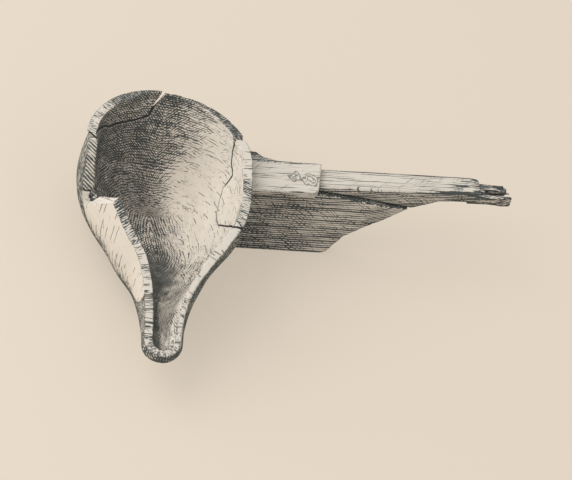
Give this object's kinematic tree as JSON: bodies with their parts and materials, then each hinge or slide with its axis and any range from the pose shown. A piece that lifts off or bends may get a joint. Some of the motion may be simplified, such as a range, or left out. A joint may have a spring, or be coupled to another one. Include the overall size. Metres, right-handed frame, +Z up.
{
  "type": "wooden ladle",
  "caption": "Carved wooden ladle: deep round bowl, long side pouring spout, straight handle braced by an upright web; worn, chipped and split along old breaks.",
  "frame": {"origin": "middle of the flat foot, on the surface that the ladle stands on, under the axis of the round bowl", "axes": "+X out along the handle, the spout points to -Y, +Z up out of the bowl"},
  "size_m": [0.407, 0.2992, 0.097],
  "materials": {
    "bowl_wood": "dry, worn and finely tooled",
    "shard_wood": "dry, worn, slightly darker",
    "handle_wood": "dry, long straight grain",
    "web_wood": "dry, rough along the grain"
  },
  "bodies": {
    "root": {"bowl_body": "bowl_wood", "back_rim_shard": "shard_wood", "front_left_wall_shard": "bowl_wood", "handle_side_wall_shard": "bowl_wood", "handle_root_block": "handle_wood", "handle_shaft": "handle_wood", "handle_web": "web_wood"}
  },
  "joints": []
}
